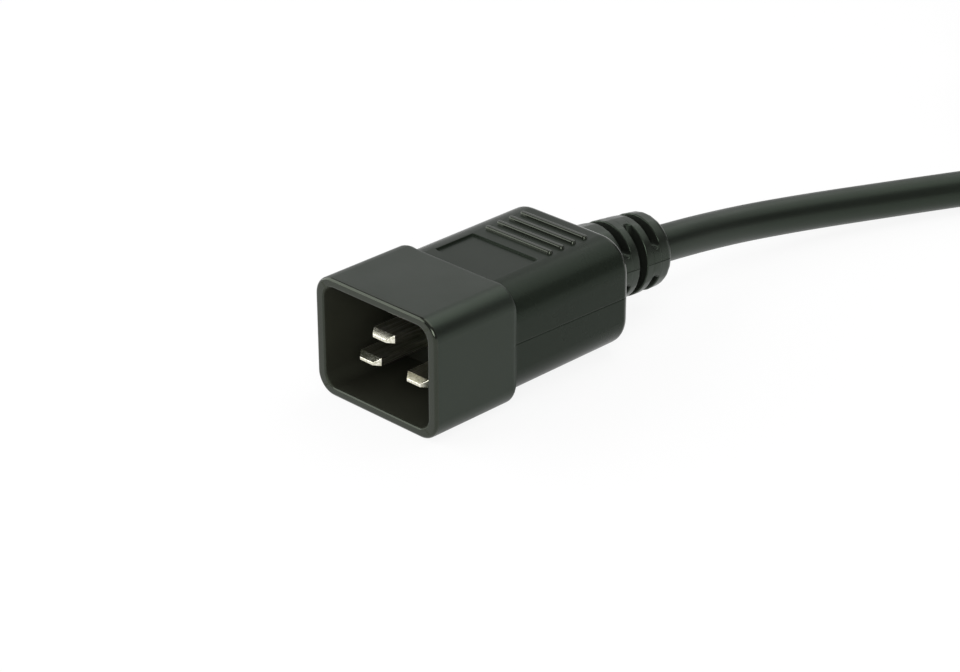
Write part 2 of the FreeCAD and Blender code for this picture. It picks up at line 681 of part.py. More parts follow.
# Socket: nose and grip of the far end's moulding
socket_shell = new_body("socket_shell")
socket_shell.Placement = socket_place()
outline = new_sketch(socket_shell, "nose_outline", "XZ_Plane")
rounded_rectangle(outline, "nose_width", "nose_height", "nose_corner")
nose = pad(socket_shell, "nose", outline, "nose_length + 3", True)
fillet(socket_shell, "nose_edge", nose, "rim_radius", lambda point: near(point.y, "0"))
outline = new_sketch(socket_shell, "socket_grip_outline", "XZ_Plane", "-1 * nose_length")
rounded_rectangle(outline, "socket_width", "socket_height", "grip_corner")
grip = pad(socket_shell, "socket_grip", outline, "socket_length", True)
grip = fillet(socket_shell, "socket_grip_front", grip, "socket_front_radius", lambda point: (
    near(point.y, "nose_length") and (
        abs(point.x) > number("nose_width / 2") + 0.5
        or abs(point.z) > number("nose_height / 2") + 0.5)))
fillet(socket_shell, "socket_grip_back", grip, "grip_back_radius",
       lambda point: near(point.y, "nose_length + socket_length"))
rib_rows(socket_shell, "socket_rib", "socket_height", "socket_rib_start")
outline = new_sketch(socket_shell, "insert_outline", "XZ_Plane")
rounded_rectangle(outline, "insert_width", "insert_height", "insert_corner")
pocket(socket_shell, "insert_pocket", outline, "insert_length")

socket_relief = strain_relief("socket_relief")
sag = FreeCAD.Rotation(number("relief_swing"), 0, -number("relief_droop"))
grip_back = socket_place(0, number("nose_length + socket_length"), 0)
socket_relief.Placement = FreeCAD.Placement(grip_back.Base, sag)

# Socket: carrier with an entry slot and a chamber for each contact
socket_contact_carrier = keep(new_body("socket_contact_carrier"))
socket_contact_carrier.Placement = socket_place()
outline = new_sketch(socket_contact_carrier, "insert_block_outline", "XZ_Plane")
rounded_rectangle(outline, "insert_width", "insert_height", "insert_corner")
pad(socket_contact_carrier, "insert_block", outline, "insert_length", True)
entries = new_sketch(socket_contact_carrier, "entry_slots", "XZ_Plane")
chambers = new_sketch(socket_contact_carrier, "chamber_outlines", "XZ_Plane", "-1 * window_depth")
for pole, across, up, tip in POLES:
    rectangle(entries, "window_width", "window_height", across, up)
    rectangle(chambers, "chamber_width", "chamber_height", across, up)
pocket(socket_contact_carrier, "entries", entries, "window_depth")
pocket(socket_contact_carrier, "chambers", chambers, "insert_length - window_depth")


def spring_contact(pole, across, up, tip):
    """Folded contact: two leaves with a gap for the pin, a back plate and a crimp barrel."""
    body = keep(new_body(f"socket_{pole}_contact"))
    body.Placement = socket_place(number(across), 0, number(up))
    outline = new_sketch(body, pole + "_plate_outline", "XZ_Plane",
                         "-1 * ( insert_length - plate_thickness )")
    rectangle(outline, "chamber_width", "chamber_height")
    pad(body, pole + "_plate", outline, "plate_thickness", True)
    for side, word in (("1", "upper"), ("-1", "lower")):
        outline = new_sketch(body, f"{pole}_{word}_leaf_outline", "XZ_Plane",
                             "-1 * ( window_depth + leaf_setback )")
        rectangle(outline, "leaf_width", "leaf_thickness", "0",
                  f"{side} * ( leaf_gap + leaf_thickness ) / 2")
        pad(body, f"{pole}_{word}_leaf", outline, "insert_length - window_depth - leaf_setback", True)
    crimp_barrel(body, pole + "_contact", "insert_length")
    return body


contacts = [spring_contact(*pole) for pole in POLES]
socket_wiring = wiring(
    "socket",
    number("insert_length + tail_length + barrel_length"),
    number("nose_length + socket_length + cord_inside"),
    socket_place)
socket_inserts = [socket_contact_carrier] + contacts + socket_wiring + [cord_tail]
moulding("socket_housing", [socket_shell, socket_relief], socket_inserts)

# Check every object, then write one file for each piece
document.recompute()
for item in document.Objects:
    if "Invalid" in item.State or "Error" in item.State:
        raise RuntimeError(f"{item.Label} failed: {item.State}")
for item in nodes:
    if item.Shape.isNull() or not item.Shape.isValid() or len(item.Shape.Solids) != 1:
        raise RuntimeError(f"{item.Label} is not one valid solid")
os.makedirs("parts", exist_ok=True)
for item in nodes:
    item.Shape.exportStep(os.path.join("parts", item.Label + ".step"))
    print("%-24s volume %9.1f" % (item.Label, item.Shape.Volume))
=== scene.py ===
import bmesh
import bpy
import math
from mathutils import Matrix, Vector


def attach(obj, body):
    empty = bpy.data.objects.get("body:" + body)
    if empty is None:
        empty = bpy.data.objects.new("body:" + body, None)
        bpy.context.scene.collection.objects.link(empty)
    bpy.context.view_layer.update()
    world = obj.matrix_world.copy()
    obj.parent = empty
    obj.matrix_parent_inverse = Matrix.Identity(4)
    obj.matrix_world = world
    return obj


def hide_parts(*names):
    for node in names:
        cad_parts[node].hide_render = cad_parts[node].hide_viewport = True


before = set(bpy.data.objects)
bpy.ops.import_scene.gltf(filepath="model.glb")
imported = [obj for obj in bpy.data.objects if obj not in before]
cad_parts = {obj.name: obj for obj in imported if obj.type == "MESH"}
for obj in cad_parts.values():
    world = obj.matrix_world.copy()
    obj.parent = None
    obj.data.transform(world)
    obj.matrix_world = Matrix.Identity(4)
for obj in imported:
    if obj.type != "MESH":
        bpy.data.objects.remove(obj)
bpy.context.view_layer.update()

# Camera: a long lens in front of the plug, to its right and a little above it, so that the open
# mouth, the top and the right side of the plug all show.
MM = 0.001
camera = bpy.data.objects.new("camera", bpy.data.cameras.new("camera"))
bpy.context.collection.objects.link(camera)
camera.data.sensor_width = 36.0
camera.data.lens = 101.89
camera.data.clip_start = 0.02
azimuth = math.radians(44.834)
elevation = math.radians(26.348)
roll = math.radians(-0.168)
look_back = Vector((
    math.sin(azimuth) * math.cos(elevation),
    -math.cos(azimuth) * math.cos(elevation),
    math.sin(elevation)))
look_right = Vector((math.cos(azimuth), math.sin(azimuth), 0))
look_up = look_back.cross(look_right)
level_right = look_right * math.cos(roll) + look_up * math.sin(roll)
level_up = look_up * math.cos(roll) - look_right * math.sin(roll)
camera.matrix_world = Matrix((level_right, level_up, look_back)).transposed().to_4x4()
camera.location = Vector((337.3, -349.28, 244.2)) * MM
bpy.context.scene.camera = camera
bpy.context.scene.view_settings.view_transform = "Standard"


# Cord: three cores in a round black jacket of soft plastic, 8 mm across, extruded in one piece. It
# leaves the plug's strain relief, sinks to the table, and its spare length is folded into a hank
# of two turns side by side and part of a third on top, before its end goes into the socket.
def ease(value, start, end):
    share = min(max((value - start) / (end - start), 0.0), 1.0)
    return share * share * (3 - 2 * share)


def hank_point(step):
    """Place on the folded length: up the right side, round the far fold, down the left side and
    round the near fold. The second turn lies inside the first one, and the third on top."""
    middle_x, near_y, far_y = 20.0, 190.0, 304.0
    outer_radius, inset = 32.2, 7.8
    table_height, layer, climb_start, climb_end = 4.2, 8.4, 52, 57.5
    half_turn, straight_steps, fold_angle = 16, 4, 15
    radius = outer_radius - inset * ease(step, half_turn, 2 * half_turn)
    height = table_height + layer * ease(step, climb_start, climb_end)
    run = (0.0, 0.25 if step < straight_steps else 0.06, 0.5, 0.94)
    back, station = divmod(step % (2 * half_turn), half_turn)
    start_y, end_y, side = (far_y, near_y, -1) if back else (near_y, far_y, 1)
    if station < straight_steps:
        return middle_x + side * radius, start_y + (end_y - start_y) * run[station], height
    angle = math.radians(180 * back + fold_angle * (station - straight_steps))
    return middle_x + radius * math.cos(angle), end_y + radius * math.sin(angle), height


cord_points = [
    (0.23, 20.10, 12.32),
    (1.36, 41.00, 10.93),
    (1.60, 63.40, 8.00),
    (5.40, 83.90, 5.90),
    (12.20, 104.40, 4.55),
    (22.20, 126.10, 4.25),
    (33.60, 148.40, 4.15),
    (47.00, 173.00, 4.20),
]
hank_steps = 80
cord_points += [hank_point(step) for step in range(hank_steps)]
cord_points += [
    (-4.00, 304.00, 12.60),
    (-4.00, 286.50, 12.60),
    (-1.80, 265.97, 18.83),
    (-0.23, 236.99, 20.77),
]
jacket_diameter = 8.0
cord_curve = bpy.data.curves.new("cord", "CURVE")
cord_curve.dimensions = "3D"
cord_line = cord_curve.splines.new("NURBS")
cord_line.points.add(len(cord_points) - 1)
for point, place in zip(cord_line.points, cord_points):
    point.co = (*(Vector(place) * MM), 1.0)
cord_line.order_u = 3
cord_line.use_endpoint_u = True
cord_line.resolution_u = 8
cord_curve.bevel_depth = jacket_diameter / 2 * MM
cord_curve.bevel_resolution = 8
cord_curve.use_fill_caps = True
cord = bpy.data.objects.new("cord", cord_curve)
bpy.context.collection.objects.link(cord)


def new_material(name):
    """Material with its shader, its links, and a function that adds a node with its inputs."""
    material = bpy.data.materials.new(name)
    material.use_nodes = True
    tree = material.node_tree

    def add(kind, inputs=None, **settings):
        node = tree.nodes.new(kind)
        for key, value in settings.items():
            setattr(node, key, value)
        for key, value in (inputs or {}).items():
            if isinstance(value, bpy.types.NodeSocket):
                tree.links.new(value, node.inputs[key])
            else:
                node.inputs[key].default_value = value
        return node

    return material, tree.nodes["Principled BSDF"], tree.links, add


def blend(add, factor, dark, light):
    """Colour that runs from a dark tone to a light one with a factor."""
    first_tone, second_tone, result = 6, 7, 2
    mix = add("ShaderNodeMix", {
        "Factor": factor, first_tone: (*dark, 1.0), second_tone: (*light, 1.0)}, data_type="RGBA")
    return mix.outputs[result]


def soft_plastic(name, dark, light, roughness, grain_size, grain_depth, shine=0.5,
                 tint=(0.76, 1.0, 0.74)):
    """Soft plastic: an even tone with faint clouds, and the fine grain of its mould or die."""
    material, shader, links, add = new_material(name)
    place = add("ShaderNodeTexCoord").outputs["Object"]
    clouds = add("ShaderNodeTexNoise", {
        "Vector": place, "Scale": 90.0, "Detail": 4.0}).outputs["Fac"]
    links.new(blend(add, clouds, dark, light), shader.inputs["Base Color"])
    gloss_spread = 0.04
    gloss = add("ShaderNodeMapRange", {
        "Value": clouds, "From Min": 0.3, "From Max": 0.7,
        "To Min": roughness - gloss_spread, "To Max": roughness + gloss_spread})
    links.new(gloss.outputs["Result"], shader.inputs["Roughness"])
    grain = add("ShaderNodeTexNoise", {
        "Vector": place, "Scale": 1.0 / (grain_size * MM), "Detail": 2.0})
    bump = add("ShaderNodeBump", {
        "Height": grain.outputs["Fac"], "Strength": 0.35, "Distance": grain_depth * MM})
    links.new(bump.outputs["Normal"], shader.inputs["Normal"])
    shader.inputs["Specular IOR Level"].default_value = shine
    shader.inputs["Specular Tint"].default_value = (*tint, 1.0)
    return material


jacket_black = soft_plastic(
    "jacket_black", (0.0050, 0.0055, 0.0048), (0.0065, 0.0072, 0.0063), 0.40, 0.35, 0.02, 0.44)
cord_curve.materials.append(jacket_black)
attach(cord, "root")
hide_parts("cord_run", "cord_hank", "cord_tail")

# Plug housing: one moulding of black soft plastic, shot round the pins and the cord's end. A
# shroud surrounds the pins, the grip behind it has ribs and a bare panel, and a slotted sleeve
# lets the cord bend.
SEAM_DEPTH = 0.07
# Points that the outlines need: round the corners, at the ribs' ends and beside the seam.
CORNER_STEPS = 10
RIB_ENDS = (7.9, 8.3, 8.45, 8.58, 8.68, 8.76, 8.83, 8.87, 8.895, 8.96, 9.0, 9.12, 9.25)
TOP_LINES = [-x for x in reversed(RIB_ENDS)] + [-4.0, 0.0, 4.0] + list(RIB_ENDS)
SIDE_LINES = (-0.30, -0.09, 0.0, 0.09, 0.30)


def section(width, height, corner, y, seam=0.0):
    """Rounded rectangle across a moulding, with extra points for its ribs and its mould seam."""
    half_width = width / 2
    half_height = height / 2
    side = half_width - corner
    level = half_height - corner
    quarter = [math.radians(90 * step / CORNER_STEPS) for step in range(CORNER_STEPS + 1)]
    points = [(half_width, z + seam) for z in SIDE_LINES]
    points += [(side + corner * math.cos(a), level + corner * math.sin(a)) for a in quarter]
    points += [(x, half_height) for x in reversed(TOP_LINES)]
    points += [(-side - corner * math.sin(a), level + corner * math.cos(a)) for a in quarter]
    points += [(-half_width, z + seam) for z in reversed(SIDE_LINES)]
    points += [(-side - corner * math.cos(a), -level - corner * math.sin(a)) for a in quarter]
    points += [(x, -half_height) for x in TOP_LINES]
    points += [(side + corner * math.sin(a), -level - corner * math.cos(a)) for a in quarter]
    return [Vector((x, y, z)) * MM for x, z in points]


def loft(name, sections):
    """Extrude a flat outline from section to section, and leave both ends closed."""
    bpy.ops.object.select_all(action="DESELECT")
    bpy.ops.mesh.primitive_circle_add(vertices=len(sections[0]), radius=1.0, fill_type="NGON")
    piece = bpy.context.object
    piece.name = name
    piece.data.name = name
    bpy.ops.object.mode_set(mode="EDIT")
    mesh = bmesh.from_edit_mesh(piece.data)
    mesh.verts.ensure_lookup_table()
    mark = mesh.verts.layers.int.new("place")
    for index, vertex in enumerate(mesh.verts):
        vertex[mark] = index
        vertex.co = sections[0][index]
    bmesh.update_edit_mesh(piece.data)
    for outline in sections[1:]:
        bpy.ops.mesh.extrude_region()
        mesh = bmesh.from_edit_mesh(piece.data)
        mark = mesh.verts.layers.int["place"]
        for vertex in mesh.verts:
            if vertex.select:
                vertex.co = outline[vertex[mark]]
        bmesh.update_edit_mesh(piece.data)
    bpy.ops.mesh.select_all(action="SELECT")
    bpy.ops.mesh.remove_doubles(threshold=0.002 * MM)
    bpy.ops.mesh.normals_make_consistent(inside=False)
    bpy.ops.object.mode_set(mode="OBJECT")
    piece.data.attributes.remove(piece.data.attributes["place"])
    return piece


def round_edge(from_size, to_size, steps, start_y, length, hollow=False):
    """Sizes along a quarter-round edge, from one size to the next."""
    rows = []
    for step in range(1, steps + 1):
        a = math.radians(90 * step / steps)
        across, along = (math.sin(a), 1 - math.cos(a)) if hollow else (1 - math.cos(a), math.sin(a))
        size = [one + (two - one) * across for one, two in zip(from_size, to_size)]
        rows.append((*size, start_y + length * along))
    return rows


def rib_lines(rows):
    """Places along the grip where its skin needs points for the ribs."""
    shifts = (0.0, 0.14, 0.27, 0.38, 0.46, 0.53, 0.57, 0.595, 0.66, 0.7, 0.95)
    return {round(row + side * shift, 3) for row in rows for shift in shifts for side in (-1, 1)}


def rib_rise(x, y, rows):
    """Height of the ribs over the grip's face: steep walls, a rounded crown and round ends."""
    half_length, half_width, height, crown = 8.9, 0.6, 0.6, 0.33
    wall_slope, wall_foot = 5.4, 0.06
    rise = 0.0
    for row in rows:
        past_end = max(abs(x) - (half_length - half_width), 0.0)
        out = math.hypot(y - row, past_end)
        wall = wall_slope * (half_width + wall_foot - out)
        past_crown = max(out - half_width + crown, 0.0)
        top = height - crown + math.sqrt(max(crown ** 2 - past_crown ** 2, 0.0))
        rise = max(rise, min(wall, top))
    return rise


def mould_marks(body, face_height, start_y, end_y, relief, seam_height):
    """Raise a grip's relief on its top and underside, and press in the seam along its sides."""
    relief_reach, side_start, touch = 9.2, 15.0, 0.01
    for vertex in body.data.vertices:
        x, y, z = (value / MM for value in vertex.co)
        if start_y < y < end_y:
            if abs(x) < relief_reach and abs(abs(z) - face_height) < touch:
                vertex.co.z += relief(x, y, z > 0) * math.copysign(MM, z)
            if abs(x) > side_start and abs(z - seam_height(y)) < touch:
                vertex.co.x -= math.copysign(SEAM_DEPTH * MM, x)


# Width, height and corner radius of each section, and distances from the rim.
mouth = (28.45, 21.45, 2.9)
lip = (29.25, 22.25, 3.3)
rim = (31.7, 23.9, 3.75)
shroud = (33.0, 25.2, 4.4)
grip = (32.7, 23.4, 6.9)
grip_end = (28.7, 19.4, 4.9)
lip_round, rim_round, shoulder_round, back_round = 0.4, 0.65, 0.8, 2.0
mouth_end, shoulder_start, grip_back = 25.5, 20.6, 54.0
grip_start = shoulder_start + shoulder_round
back_start = grip_back - back_round
plug_ribs = (39.0, 42.3, 45.6, 48.9)
panel_low, panel_high = 24.7, 35.3
seam_front, seam_fall, seam_start = 0.82, 0.0244, 21.2


def plug_seam(y):
    return seam_front - seam_fall * (y - seam_start)


rows = [(*mouth, mouth_end), (*mouth, 12.0), (*mouth, 1.0), (*mouth, lip_round)]
rows += round_edge(mouth, lip, 5, lip_round, -lip_round)
rows += [(*rim, 0.0)]
rows += round_edge(rim, shroud, 5, 0.0, rim_round, hollow=True)
rows += [(*shroud, 1.2), (*shroud, 10.0), (*shroud, 20.2), (*shroud, shoulder_start)]
plug_sections = [section(*row, seam_front) for row in rows]
shoulder_outer = section(*shroud, 0.0, seam_front)
shoulder_inner = section(*grip, 0.0, seam_front)
for degrees in (18, 36, 54, 72, 90):
    a = math.radians(degrees)
    drop = shoulder_round * (1 - math.cos(a)) * MM
    y = (shoulder_start + shoulder_round * math.sin(a)) * MM
    outline = []
    for outer, inner in zip(shoulder_outer, shoulder_inner):
        gap = (inner - outer).length
        place = inner if drop >= gap else outer.lerp(inner, drop / gap)
        outline.append(Vector((place.x, y, place.z)))
    plug_sections.append(outline)

grip_lines = rib_lines(plug_ribs) | {
    21.7, 22.5, 23.8, 27.0, 29.8, 32.5, 36.5, 37.6, 50.4, 51.2, 51.7, back_start}
for edge in (panel_low, panel_high):
    shifts = (0.03, 0.065, 0.15, 0.7)
    grip_lines |= {round(edge + side * shift, 3) for shift in shifts for side in (-1, 1)}
plug_sections += [section(*grip, y, plug_seam(y)) for y in sorted(grip_lines)]
back_rows = round_edge(grip, grip_end, 9, back_start, back_round)
plug_sections += [section(*row, plug_seam(row[-1])) for row in back_rows]
plug_body = loft("plug_body", plug_sections)


def panel_drop(x, y):
    """Depth of the bare panel: flat, with steep walls and small round corners."""
    half_width, corner, wall, depth = 8.9, 0.7, 0.13, 0.45
    out_x = abs(x) - (half_width - corner)
    out_y = abs(y - (panel_low + panel_high) / 2) - ((panel_high - panel_low) / 2 - corner)
    outside = math.hypot(max(out_x, 0.0), max(out_y, 0.0)) + min(max(out_x, out_y), 0.0) - corner
    return depth * ease(-outside, -wall / 2, wall / 2)


def plug_relief(x, y, on_top):
    return rib_rise(x, y, plug_ribs) - (panel_drop(x, y) if on_top else 0.0)


mould_marks(plug_body, grip[1] / 2, grip_start + 0.1, back_start + 1.0, plug_relief, plug_seam)


def sleeve_corner(radius, web, kind, dip, quarter):
    """Quarter of a ring across the sleeve. In a row of slots the ring steps in to the sleeve's
    core, beside a web that is twice as wide as given; dip rounds the slots' edges."""
    core, edge, seam_width = 5.3, 0.3, 0.1
    web_corner, web_foot = 4, 6
    corner_in, corner_down = 0.06, 0.08
    start = math.asin(web / radius)
    turn = edge / radius
    first = [0.0, seam_width / radius, (start - turn) / 2, start - turn, start, start + turn]
    middle_count = quarter - 2 * len(first) + 1
    low = start + turn
    high = math.pi / 2 - low
    angles = first + [low + (high - low) * (i + 1) / (middle_count + 1) for i in range(middle_count)]
    angles += [math.pi / 2 - a for a in reversed(first)]
    web_reach = math.sqrt(radius ** 2 - web ** 2)
    core_reach = math.sqrt(core ** 2 - web ** 2)
    core_start = math.asin(web / core)
    corner = []
    for j, a in enumerate(angles):
        if kind == "land" or j < web_corner:
            corner.append((radius * math.cos(a), radius * math.sin(a)))
        elif kind == "edge":
            inset = radius - dip * (0.5 if j == web_corner else 1.0)
            corner.append((inset * math.cos(a), inset * math.sin(a)))
        elif j == web_corner:
            corner.append((web_reach - corner_in, web - corner_down))
        elif j < web_foot:
            corner.append((web_reach - edge, web))
        elif j == web_foot:
            corner.append((core_reach, web))
        else:
            b = core_start + (math.pi / 2 - core_start) * (j - web_foot) / (quarter - web_foot)
            corner.append((core * math.cos(b), core * math.sin(b)))
    return corner


def sleeve_ring(radius, along, kind="land", dip=0.0, sideways=False, web=3.9):
    """Ring across the sleeve: a plain land, the rounded edge of a row of slots, or the slots
    themselves, which lie above and below their webs, or beside them when turned sideways."""
    quarter, seam_reach, touch = 20, 6.2, 0.01
    corner = sleeve_corner(radius, web, kind, dip, quarter)
    ring = []
    for index in range(4 * quarter):
        q, i = divmod((index - quarter) % (4 * quarter) if sideways else index, quarter)
        j = i if q % 2 == 0 else quarter - i
        u = corner[j][0] * (1 if q in (0, 3) else -1)
        v = corner[j][1] * (1 if q in (0, 1) else -1)
        x, z = (-v, u) if sideways else (u, v)
        if abs(z) < touch and abs(x) > seam_reach:
            x -= math.copysign(SEAM_DEPTH, x)
        ring.append(Vector((x, along, z)) * MM)
    return ring


def slotted_sleeve(name):
    """Tapered sleeve with three rows of slots that end round, each row turned a quarter against
    the last, and with the mould's seam along both sides."""
    root, length, root_radius, taper = -3.0, 21.9, 8.9, 0.8
    first_slot, pitch, slot, edge, narrow_web = 7.4, 4.25, 2.2, 0.3, 2.8
    tip_round, tip_inner = 1.8, 4.4

    def radius(along):
        return root_radius - (along - root) / (length - root) * taper

    rings = [sleeve_ring(radius(along), along) for along in (root, -0.5, 0.6, 3.5, 6.5)]
    for row in range(3):
        start = first_slot + pitch * row
        end = start + slot
        sideways = row == 1
        rings.append(sleeve_ring(radius(start), start - edge))
        for degrees in (30, 60, 90):
            a = math.radians(degrees)
            along = start - edge + edge * math.sin(a)
            dip = edge * (1 - math.cos(a))
            rings.append(sleeve_ring(radius(start), along, "edge", dip, sideways))
        for share in (-1, -0.98, -0.92, -0.7, -0.38, 0, 0.38, 0.7, 0.92, 0.98, 1):
            along = start + slot / 2 * (1 + share)
            web = narrow_web + slot / 2 * (1 - math.sqrt(1 - share * share))
            rings.append(sleeve_ring(radius(along), along, "slot", 0.0, sideways, web))
        for degrees in (90, 60, 30):
            a = math.radians(degrees)
            along = end + edge - edge * math.sin(a)
            dip = edge * (1 - math.cos(a))
            rings.append(sleeve_ring(radius(end), along, "edge", dip, sideways))
        rings.append(sleeve_ring(radius(end), end + edge))
    tip_radius = radius(length)
    tip_start = length - tip_round
    rings.append(sleeve_ring(tip_radius, tip_start - 0.4))
    for degrees in range(0, 91, 15):
        a = math.radians(degrees)
        rings.append(sleeve_ring(
            tip_radius - tip_round * (1 - math.cos(a)), tip_start + tip_round * math.sin(a)))
    rings.append(sleeve_ring(tip_inner, length))
    return loft(name, rings)


def make_active(piece):
    bpy.ops.object.select_all(action="DESELECT")
    piece.select_set(True)
    bpy.context.view_layer.objects.active = piece


def apply_modifier(piece, kind, **settings):
    make_active(piece)
    modifier = piece.modifiers.new(kind.lower(), kind)
    for key, value in settings.items():
        setattr(modifier, key, value)
    bpy.ops.object.modifier_apply(modifier=modifier.name)


def smooth(piece, degrees):
    """Smooth shading up to an angle, with the large faces kept flat."""
    make_active(piece)
    bpy.ops.object.shade_smooth_by_angle(angle=math.radians(degrees))
    apply_modifier(piece, "WEIGHTED_NORMAL", keep_sharp=True, weight=60)


def join_sleeve(body, grip_back, swing, twist=0.0):
    """Sleeve on the back of a grip, sagging with its cord, joined to the grip in one skin."""
    sag = -3.8
    sleeve = slotted_sleeve(body.name + "_sleeve")
    lean = Matrix.Rotation(math.radians(swing), 4, "Z") @ Matrix.Rotation(math.radians(sag), 4, "X")
    lean = lean @ Matrix.Rotation(math.radians(twist), 4, "Y")
    sleeve.data.transform(Matrix.Translation((0, grip_back * MM, 0)) @ lean)
    apply_modifier(body, "BOOLEAN", operation="UNION", solver="EXACT", object=sleeve)
    bpy.data.objects.remove(sleeve)


rim_y, axis_z = -38.18, 12.6
join_sleeve(plug_body, grip_back, swing=-3.1, twist=-4.5)
plug_body.data.transform(Matrix.Translation(Vector((0, rim_y, axis_z)) * MM))
smooth(plug_body, 38)
shroud_black = soft_plastic(
    "shroud_black", (0.0092, 0.0106, 0.0090), (0.0116, 0.0132, 0.0112), 0.39, 0.22, 0.02, 0.37)
# Inside of the mouth: the same plastic with a matte finish. Its tone is lighter and warmer than
# outside, which is painted fill light in the mouth's shade.
mouth_matte_painted_fill = soft_plastic(
    "mouth_matte_painted_fill", (0.0150, 0.0139, 0.0098), (0.0178, 0.0165, 0.0120), 0.60, 0.22, 0.02, 0.4)
edge_black = soft_plastic(
    "edge_black", (0.0070, 0.0077, 0.0064), (0.0090, 0.0099, 0.0083), 0.16, 0.30, 0.008, 0.50,
    tint=(0.88, 1.0, 0.78))
grip_black = soft_plastic(
    "grip_black", (0.0098, 0.0126, 0.0094), (0.0124, 0.0158, 0.0118), 0.29, 0.30, 0.015, 0.15)
sleeve_black = soft_plastic(
    "sleeve_black", (0.0092, 0.0104, 0.0086), (0.0118, 0.0133, 0.0108), 0.30, 0.30, 0.015, 0.38)
plug_blacks = [shroud_black, mouth_matte_painted_fill, edge_black, grip_black, sleeve_black]
for black in plug_blacks:
    plug_body.data.materials.append(black)
wall_slack, edge_slack, rib_foot = 0.015, 0.01, 0.05
shine_start, shine_end = back_start + 0.2, grip_back - 0.05
for face in plug_body.data.polygons:
    x, y, z = (value / MM for value in face.center)
    depth = y - rim_y
    level = abs(z - axis_z)
    in_mouth = abs(x) < mouth[0] / 2 + wall_slack and level < mouth[1] / 2 + wall_slack
    on_rib = depth > grip_start and level > grip[1] / 2 + rib_foot
    on_back = shine_start < depth < shine_end
    # Faces inside the mouth take the matte copy with its painted fill light.
    if depth < shoulder_start and in_mouth:
        black = mouth_matte_painted_fill
    elif depth < rim_round - edge_slack or on_rib or on_back:
        black = edge_black
    elif depth < grip_start:
        black = shroud_black
    else:
        black = grip_black if depth < grip_back + edge_slack else sleeve_black
    face.material_index = plug_blacks.index(black)
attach(plug_body, "root")
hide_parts("plug_housing")

# Pin carrier: block of rigid black plastic that the pins are pressed through. It closes the
# bottom of the mouth, and the housing is moulded round it.
# It is rigid plastic of its own, but its lighter, warmer tone is painted fill light in the deep shade
# of the mouth.
carrier_painted_fill = soft_plastic(
    "carrier_painted_fill", (0.0185, 0.0174, 0.0130), (0.0222, 0.0209, 0.0160), 0.60, 0.3, 0.02)


def finish_node(node, material):
    """Look of a piece that is shown as the frame brings it."""
    piece = bpy.data.objects[node]
    piece.data.materials.clear()
    piece.data.materials.append(material)


finish_node("plug_pin_carrier", carrier_painted_fill)


# Pins: flat brass strip, plated with nickel and rubbed dull along the blades. The stamped tip has
# a large bevel on top and a slight one below. Line and neutral lie in one plane, and the earth pin
# above them reaches further forward.
def plated_nickel(name, smoothest, roughest):
    """Nickel plate with faint streaks along the strip, from its drawing and from use."""
    material, shader, links, add = new_material(name)
    place = add("ShaderNodeTexCoord").outputs["Object"]
    drawn = add("ShaderNodeMapping", {"Vector": place, "Scale": (900.0, 40.0, 900.0)})
    streaks = add("ShaderNodeTexNoise", {
        "Vector": drawn.outputs["Vector"], "Scale": 4.0, "Detail": 3.0}).outputs["Fac"]
    polish = add("ShaderNodeMapRange", {"Value": streaks, "To Min": smoothest, "To Max": roughest})
    links.new(polish.outputs["Result"], shader.inputs["Roughness"])
    wear = add("ShaderNodeMapRange", {"Value": streaks, "From Min": 0.35, "From Max": 0.65})
    tone = blend(add, wear.outputs["Result"], (0.55, 0.54, 0.42), (0.92, 0.90, 0.80))
    links.new(tone, shader.inputs["Base Color"])
    shader.inputs["Metallic"].default_value = 1.0
    return material


nickel = plated_nickel("nickel_plate", 0.16, 0.24)
rubbed_nickel = plated_nickel("rubbed_nickel", 0.29, 0.33)
pin_places = (("line", -6.5, -4.4, 3.7), ("neutral", 6.5, -4.4, 3.7), ("earth", 0.0, 3.6, 1.2))
strip_end, bevel_length, edge_round = 25.5, 1.35, 0.08
width, thickness, middle = 5.8, 1.7, 0.35
tip_width, tip_top, tip_bottom = 3.6, 0.35, -0.25
for pole, across, up, tip in pin_places:
    bpy.ops.object.select_all(action="DESELECT")
    bpy.ops.mesh.primitive_cube_add(size=1.0)
    pin = bpy.context.object
    pin.name = f"{pole}_pin"
    pin.data.name = pin.name
    length = strip_end - tip - bevel_length
    pin.data.transform(Matrix.Diagonal((width * MM, length * MM, thickness * MM, 1.0)))
    pin.data.transform(Matrix.Translation((0, (strip_end - length / 2) * MM, middle * MM)))
    bpy.ops.object.mode_set(mode="EDIT")
    bpy.ops.mesh.select_all(action="DESELECT")
    bpy.ops.mesh.select_mode(type="FACE")
    mesh = bmesh.from_edit_mesh(pin.data)
    for face in mesh.faces:
        face.select_set(face.normal.y < -0.9)
    bmesh.update_edit_mesh(pin.data)
    bpy.ops.mesh.extrude_region()
    mesh = bmesh.from_edit_mesh(pin.data)
    for vertex in mesh.verts:
        if vertex.select:
            edge = tip_top if vertex.co.z > middle * MM else tip_bottom
            vertex.co = (vertex.co.x * tip_width / width, tip * MM, edge * MM)
    bmesh.update_edit_mesh(pin.data)
    bpy.ops.mesh.select_all(action="SELECT")
    bpy.ops.mesh.bevel(offset=edge_round * MM, segments=3, affect="EDGES")
    bpy.ops.object.mode_set(mode="OBJECT")
    pin.data.transform(Matrix.Translation(Vector((across, rim_y, axis_z + up)) * MM))
    smooth(pin, 40)
    pin.data.materials.append(nickel)
    pin.data.materials.append(rubbed_nickel)
    for face in pin.data.polygons:
        if face.center.y > (rim_y + tip + bevel_length) * MM:
            face.material_index = 1
    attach(pin, "root")
    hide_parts(f"plug_{pole}_pin")


